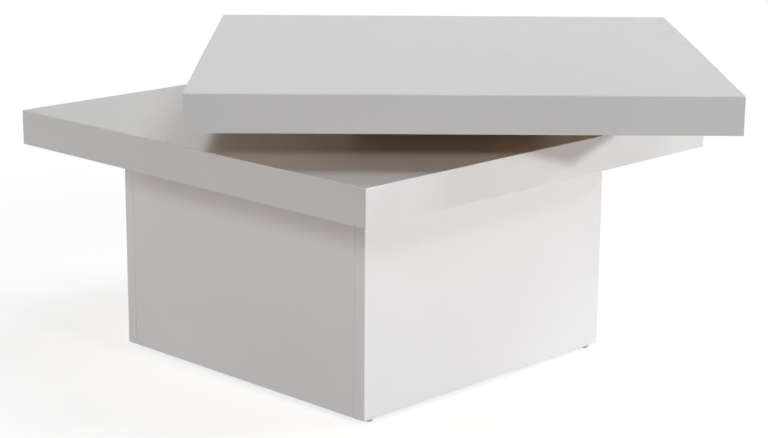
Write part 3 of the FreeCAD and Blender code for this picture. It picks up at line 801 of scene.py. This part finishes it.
FINISHES: dict[str, Finish] = {finish.name: finish for finish in (
    GlossLacquer("white_gloss_lacquer"),
    GlossLacquer(
        "white_gloss_panel",
        light=(0.885, 0.88, 0.89),
        shade=(0.865, 0.86, 0.87),
        # Paler colour of the painted highlight along the panels' rounded edges.
        edge_highlight=(0.96, 0.955, 0.96),
        cloud=Grain(width=0.25, octaves=3.0),
    ),
    FibreBoard("raw_underside_board"),
    FibreBoard(
        "chipboard",
        light=(0.62, 0.48, 0.32),
        shade=(0.50, 0.37, 0.24),
        fleck=(0.34, 0.23, 0.14),
        fibre=Grain(width=2.5 * MM, octaves=4.0, stretch=(3.0, 1.0, 1.0)),
        flecks=Grain(width=6 * MM, octaves=3.0),
    ),
    FibreBoard(
        "paper_honeycomb",
        light=(0.60, 0.47, 0.32),
        shade=(0.54, 0.41, 0.27),
        fleck=(0.44, 0.32, 0.2),
    ),
    FibreBoard(
        "dark_spacer_board",
        light=(0.12, 0.085, 0.06),
        shade=(0.085, 0.06, 0.042),
        fleck=(0.05, 0.035, 0.025),
    ),
    Metal("zinc_plated_steel"),
    Metal("ball_steel", light=(0.78, 0.78, 0.79), shade=(0.70, 0.70, 0.71), gloss=(0.08, 0.14)),
    Moulded("cage_nylon", light=(0.80, 0.79, 0.74), shade=(0.72, 0.71, 0.66)),
    Metal("cam_alloy", light=(0.58, 0.58, 0.59), shade=(0.46, 0.46, 0.47), gloss=(0.35, 0.5)),
    SawnWood(
        "beech_dowel",
        light=(0.72, 0.55, 0.38),
        shade=(0.62, 0.45, 0.29),
        line=Grain(width=1.5 * MM, octaves=3.0, stretch=(1.0, 20.0, 1.0)),
        pore=Grain(width=0.25 * MM, octaves=2.0, stretch=(1.0, 20.0, 1.0)),
    ),
    SawnWood("pine_batten"),
    Moulded("grey_glide_plastic"),
    Metal("insert_brass", light=(0.74, 0.58, 0.30), shade=(0.62, 0.47, 0.22), gloss=(0.25, 0.4)),
)}


def dress_packed_nodes() -> None:
    """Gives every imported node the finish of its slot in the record."""
    for subpart in frame["record"]["subparts"]:
        node = frame["nodes"][subpart["node"]]
        material = FINISHES[subpart["material_slot"]].material()
        if not node.material_slots:
            node.data.materials.append(material)
        for slot in node.material_slots:
            slot.material = material


@dataclass(frozen=True)
class Slab:
    """A square slab: a deck between four edge bands, over the raw board that closes it below."""

    name: str
    body: str
    placing: Placing
    arris: float = 0.85 * MM
    corner: float = 0.95 * MM
    deck_arris: float = 0.12 * MM
    deck_corner: float = 0.18 * MM

    def build(self) -> None:
        """Builds the deck and the bands; the front and back bands run through."""
        self.add("deck", self.deck_arris, self.deck_corner, Side.ALL)
        through = Side.LEFT | Side.RIGHT
        for side, eased in (("front", Side.FRONT | through), ("back", Side.BACK | through),
                            ("left", Side.LEFT), ("right", Side.RIGHT)):
            self.add(f"{side}_band", self.arris, self.corner, eased)

    def add(self, part: str, arris: float, corner: float, eased: Side) -> None:
        """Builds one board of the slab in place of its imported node.

        Args:
            part: the node's name after the slab's.
            arris: radius of its edges above and below.
            corner: radius of its upright edges.
            eased: the sides that are rounded.
        """
        node = f"{self.name}_{part}"
        board = eased_board(self.placing.box(node), arris, corner, eased)
        board.placed(self.placing).piece(f"{node}_lacquered", self.body, [node], "white_gloss_lacquer")


@dataclass(frozen=True)
class Fixing:
    """A screw, bolt or cam seen at its head: head and shank radii, head height, and the driver recess.

    A sunk head tapers from its face to the shank, and any other is a plain drum.
    """

    head: float
    head_height: float
    shank: float
    recess: Recess
    recess_radius: float
    recess_depth: float
    rounding: float
    sunk: bool

    def surface(self, foot: np.ndarray, length: float, axis: Axis) -> Surface:
        """The fixing with its head's face at a point.

        Args:
            foot: middle of the head's face.
            length: overall length.
            axis: where the shank points.

        Returns:
            The fixing's surface.
        """
        recess = (
            (0.0, self.recess_depth),
            (self.recess_radius, self.recess_depth),
            (self.recess_radius, 0.0),
        )
        under_head = () if self.sunk else ((self.head, self.head_height),)
        shank = ((self.shank, self.head_height), (self.shank, length), (0.0, length))
        profile = Turned(
            corners=(*recess, (self.head, 0.0), *under_head, *shank),
            rounding=self.rounding,
            recess=self.recess,
            driven=len(recess) - 1,
        )
        return profile.standing(foot, axis)

    def upright(self, box: Box) -> Surface:
        """The fixing driven upwards, as long as a box is high."""
        return self.surface(box.foot, box.spans[2], Axis.UP)


@dataclass(frozen=True)
class BoxBase:
    """The box under the slabs: four panels on plastic glides, with cams and screwed battens inside."""

    body: str = "base"
    arris: float = 0.8 * MM
    corner: float = 1.0 * MM
    glide_rounding: float = 1.2 * MM
    glide_taper: float = 0.8 * MM
    glide_taper_share: float = 0.6
    nail_recess: Pair = (3.25 * MM, 1.6 * MM)
    cam_proud: float = 0.25 * MM
    screw: Fixing = Fixing(
        head=4.0 * MM,
        head_height=2.0 * MM,
        shank=2.0 * MM,
        recess=Recess.CROSS,
        recess_radius=2.4 * MM,
        recess_depth=1.2 * MM,
        rounding=0.25 * MM,
        sunk=True,
    )
    cam: Fixing = Fixing(
        head=7.5 * MM,
        head_height=1.0 * MM,
        shank=7.3 * MM,
        recess=Recess.CROSS,
        recess_radius=4.0 * MM,
        recess_depth=2.5 * MM,
        rounding=0.4 * MM,
        sunk=False,
    )

    def build(self) -> None:
        """Builds the panels, the glides and the fixings inside."""
        still = Placing()
        for side in ("front", "back", "left", "right"):
            node = f"base_{side}_panel"
            board = eased_board(still.box(node), self.arris, self.corner)
            board.piece(f"{node}_lacquered", self.body, [node], "white_gloss_panel")
        add_group("glides", "moulded", self.body, "grey_glide_plastic", self.glide)
        add_group("batten_slab_screws", "driven", self.body, "zinc_plated_steel", self.screw.upright)
        add_group("batten_side_screws", "driven", self.body, "zinc_plated_steel", self.side_screw)
        add_group("cam_housings", "cast", self.body, "cam_alloy", self.cam_drum)

    def side_screw(self, box: Box) -> Surface:
        """A screw from a batten's inside face out into the front or back panel.

        Args:
            box: the box of the screw's solid.

        Returns:
            The screw's surface.
        """
        x, y, z = box.middle
        if y < 0:
            return self.screw.surface(np.array((x, box.high[1], z)), box.spans[1], Axis.FRONT)
        return self.screw.surface(np.array((x, box.low[1], z)), box.spans[1], Axis.BACK)

    def cam_drum(self, box: Box) -> Surface:
        """A cam in the inside face of the left or right panel, a little proud of it.

        Args:
            box: the box of the cam's solid.

        Returns:
            The cam's surface.
        """
        x, y, z = box.middle
        length = box.spans[0] + self.cam_proud
        if x < 0:
            return self.cam.surface(np.array((box.high[0] + self.cam_proud, y, z)), length, Axis.LEFT)
        return self.cam.surface(np.array((box.low[0] - self.cam_proud, y, z)), length, Axis.RIGHT)

    def glide(self, box: Box) -> Surface:
        """One glide: a tapered button with a recess for its nail below.

        Args:
            box: the box of the glide's solid.

        Returns:
            The glide's surface.
        """
        radius = box.spans[0] / 2
        height = box.spans[2]
        recess, depth = self.nail_recess
        button = Turned(
            corners=((0.0, depth), (recess, depth), (recess, 0.0), (radius - self.glide_taper, 0.0),
                     (radius, height * self.glide_taper_share), (radius, height), (0.0, height)),
            rounding=self.glide_rounding,
        )
        return button.standing(box.foot)


@dataclass(frozen=True)
class Swivel:
    """The round spacer that carries the bearing between the slabs, and the bolts that hold it from below."""

    body: str = "base"
    spacer_rounding: float = 2.0 * MM
    bolt: Fixing = Fixing(
        head=5.5 * MM,
        head_height=4.0 * MM,
        shank=3.0 * MM,
        recess=Recess.HEXAGON,
        recess_radius=2.9 * MM,
        recess_depth=2.5 * MM,
        rounding=0.5 * MM,
        sunk=False,
    )

    def build(self) -> None:
        """Builds the bolts and the spacer."""
        add_group("swivel_bolts", "driven", self.body, "zinc_plated_steel", self.bolt.upright)
        add_group("swivel_spacer", "turned", self.body, "dark_spacer_board", self.spacer)

    def spacer(self, box: Box) -> Surface:
        """The spacer: a disc with rounded edges.

        Args:
            box: the box of the spacer's solid.

        Returns:
            The spacer's surface.
        """
        radius = box.spans[0] / 2
        height = box.spans[2]
        disc = Turned(
            corners=((0.0, 0.0), (radius, 0.0), (radius, height), (0.0, height)),
            rounding=self.spacer_rounding,
        )
        return disc.standing(box.foot)


@dataclass(frozen=True)
class Lamp:
    """A square soft box that faces the table, seen neither by the camera nor in the gloss.

    Its azimuth and elevation are in degrees, with azimuth 0 in front of the base and 90 to its right. Its
    level is the light that a sheet facing it would get, where 1 makes a white sheet just white.
    """

    name: str
    azimuth: float
    elevation: float
    side: float
    level: float
    distance: float = 7.0
    tint: Colour = WHITE

    def build(self, target: Vector) -> None:
        """Adds the lamp.

        A lamp of power P at a distance D gives a facing sheet the light P / (pi * D) ** 2.

        Args:
            target: the point that it faces.
        """
        data = bpy.data.lights.new(self.name, "AREA")
        data.size = self.side
        data.energy = self.level * (math.pi * self.distance) ** 2
        data.color = self.tint
        lamp = bpy.data.objects.new(self.name, data)
        around, up = math.radians(self.azimuth), math.radians(self.elevation)
        away = Vector((math.sin(around) * math.cos(up), -math.cos(around) * math.cos(up), math.sin(up)))
        lamp.location = target + away * self.distance
        lamp.rotation_euler = away.to_track_quat("Z", "Y").to_euler()
        lamp.visible_camera = False
        lamp.visible_glossy = False
        bpy.context.scene.collection.objects.link(lamp)


@dataclass(frozen=True)
class Viewpoint:
    """The camera: its place, its turns in radians, and its lens and sensor in millimetres."""

    place: Triple = (-1.97975, -1.96145, 0.88685)
    yaw: float = 0.7701
    pitch: float = 0.2435
    roll: float = 0.0072
    lens: float = 91.53
    sensor: float = 36.0

    def build(self) -> None:
        """Adds the scene's camera, which looks along its yaw and pitch and is turned by its roll."""
        data = bpy.data.cameras.new("viewpoint")
        data.lens = self.lens
        data.sensor_width = self.sensor
        ahead = Vector((math.cos(self.yaw) * math.cos(self.pitch), math.sin(self.yaw) * math.cos(self.pitch),
                        -math.sin(self.pitch)))
        level = Vector((math.sin(self.yaw), -math.cos(self.yaw), 0.0))
        upright = level.cross(ahead)
        right = math.cos(self.roll) * level + math.sin(self.roll) * upright
        up = math.cos(self.roll) * upright - math.sin(self.roll) * level
        camera = bpy.data.objects.new("viewpoint", data)
        turned = Matrix((right, up, -ahead)).transposed().to_4x4()
        camera.matrix_world = Matrix.Translation(self.place) @ turned
        bpy.context.scene.collection.objects.link(camera)
        bpy.context.scene.camera = camera


@dataclass(frozen=True)
class Studio:
    """A pale floor under a white surround, and the soft boxes."""

    lamps: tuple[Lamp, ...]
    ambient: float = 0.10
    floor_reach: float = 12.0
    floor_colour: Colour = (0.50, 0.50, 0.50)
    floor_glow: float = 0.72
    shadow_reach: Pair = (0.8, 1.6)
    target: Triple = (0.0, 0.0, 0.25)

    def build(self) -> None:
        """Adds the floor, the surround and the lamps, and sets the plain view transform."""
        bpy.context.scene.view_settings.view_transform = "Standard"
        self.build_surround()
        self.build_floor()
        for lamp in self.lamps:
            lamp.build(Vector(self.target))

    @staticmethod
    def seen(tree: bpy.types.NodeTree) -> Socket:
        """A number that is 1 on rays that the picture or a mirror image is made of, and 0 on other rays.

        Args:
            tree: the node tree to add to.

        Returns:
            The number's socket.
        """
        path = tree.nodes.new("ShaderNodeLightPath")
        total = path.outputs["Is Camera Ray"]
        for name in ("Is Glossy Ray", "Is Transmission Ray"):
            either = tree.nodes.new("ShaderNodeMath")
            either.operation = "MAXIMUM"
            tree.links.new(total, either.inputs[0])
            tree.links.new(path.outputs[name], either.inputs[1])
            total = either.outputs["Value"]
        return total

    def build_surround(self) -> None:
        """A world that is white to look at and lights the table at the ambient level."""
        world = bpy.data.worlds.new("surround")
        bpy.context.scene.world = world
        world.use_nodes = True
        tree = world.node_tree
        strength = tree.nodes.new("ShaderNodeMapRange")
        strength.inputs["To Min"].default_value = self.ambient
        tree.links.new(self.seen(tree), strength.inputs["Value"])
        background = tree.nodes["Background"]
        background.inputs["Color"].default_value = (*WHITE, 1.0)
        tree.links.new(strength.outputs["Result"], background.inputs["Strength"])

    def build_floor(self) -> None:
        """A round floor whose near part keeps the table's shadow and whose far part is white to look at."""
        angle = station_angles()
        rim = self.floor_reach * np.stack((np.cos(angle), np.sin(angle), np.zeros(STATIONS)), axis=-1)
        mesh = bpy.data.meshes.new("floor")
        mesh.from_pydata(rim.tolist(), [], [list(range(STATIONS))])
        mesh.materials.append(self.floor_material())
        floor = bpy.data.objects.new("floor", mesh)
        bpy.context.scene.collection.objects.link(floor)

    def fade(self, tree: bpy.types.NodeTree) -> Socket:
        """A number that goes from 0 near the table, where its shadow falls, to 1 away from it.

        Args:
            tree: the node tree to add to.

        Returns:
            The number's socket.
        """
        place = tree.nodes.new("ShaderNodeTexCoord")
        length = tree.nodes.new("ShaderNodeVectorMath")
        length.operation = "LENGTH"
        tree.links.new(place.outputs["Object"], length.inputs[0])
        share = tree.nodes.new("ShaderNodeMapRange")
        share.interpolation_type = "SMOOTHSTEP"
        share.inputs["From Min"].default_value, share.inputs["From Max"].default_value = self.shadow_reach
        tree.links.new(length.outputs["Value"], share.inputs["Value"])
        return share.outputs["Result"]

    def floor_material(self) -> bpy.types.Material:
        """The floor's material.

        Returns:
            A pale diffuse floor that also glows for the rays that are seen.
        """
        made = bpy.data.materials.new("pale_floor")
        made.use_nodes = True
        tree = made.node_tree
        tree.nodes.remove(tree.nodes["Principled BSDF"])
        paint = tree.nodes.new("ShaderNodeBsdfDiffuse")
        paint.inputs["Color"].default_value = (*self.floor_colour, 1.0)
        glow = tree.nodes.new("ShaderNodeEmission")
        glow.inputs["Strength"].default_value = self.floor_glow
        near = tree.nodes.new("ShaderNodeAddShader")
        tree.links.new(paint.outputs[0], near.inputs[0])
        tree.links.new(glow.outputs[0], near.inputs[1])
        white = tree.nodes.new("ShaderNodeEmission")
        look = tree.nodes.new("ShaderNodeMixShader")
        tree.links.new(self.fade(tree), look.inputs[0])
        tree.links.new(near.outputs[0], look.inputs[1])
        tree.links.new(white.outputs[0], look.inputs[2])
        either = tree.nodes.new("ShaderNodeMixShader")
        tree.links.new(self.seen(tree), either.inputs[0])
        tree.links.new(paint.outputs[0], either.inputs[1])
        tree.links.new(look.outputs[0], either.inputs[2])
        tree.links.new(either.outputs[0], tree.nodes["Material Output"].inputs["Surface"])
        return made


LAMPS = (
    Lamp("front_box", azimuth=1, elevation=16, side=0.4, level=0.32),
    Lamp("front_left_box", azimuth=-58, elevation=26, side=1.0, level=0.12),
    Lamp("right_box", azimuth=55, elevation=21, side=0.4, level=0.11),
    Lamp("right_low_box", azimuth=42, elevation=2, side=0.8, level=0.29),
    Lamp("high_box", azimuth=45, elevation=60, side=3.0, level=0.29),
    Lamp("left_low_box", azimuth=-130, elevation=1.5, side=0.8, level=0.13),
    Lamp("back_left_box", azimuth=-150, elevation=12, side=2.0, level=0.29, tint=(1.0, 0.95, 0.89)),
)


def swivel_placing() -> Placing:
    """How the upper slab is turned: the joint gives the pivot and its front band the angle."""
    joint = next(joint for joint in frame["joints"] if joint["child"] == "top")
    return Placing((joint["pos_m"][0], joint["pos_m"][1]), plan_angle("upper_slab_front_band"))


def main() -> None:
    """Builds the table, its studio and the camera."""
    logging.basicConfig(level=logging.INFO, format="%(message)s")
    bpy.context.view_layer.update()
    dress_packed_nodes()
    Slab("lower_slab", "base", Placing()).build()
    Slab("upper_slab", "top", swivel_placing()).build()
    BoxBase().build()
    Swivel().build()
    Studio(LAMPS).build()
    Viewpoint().build()


if __name__ == "__main__":
    main()
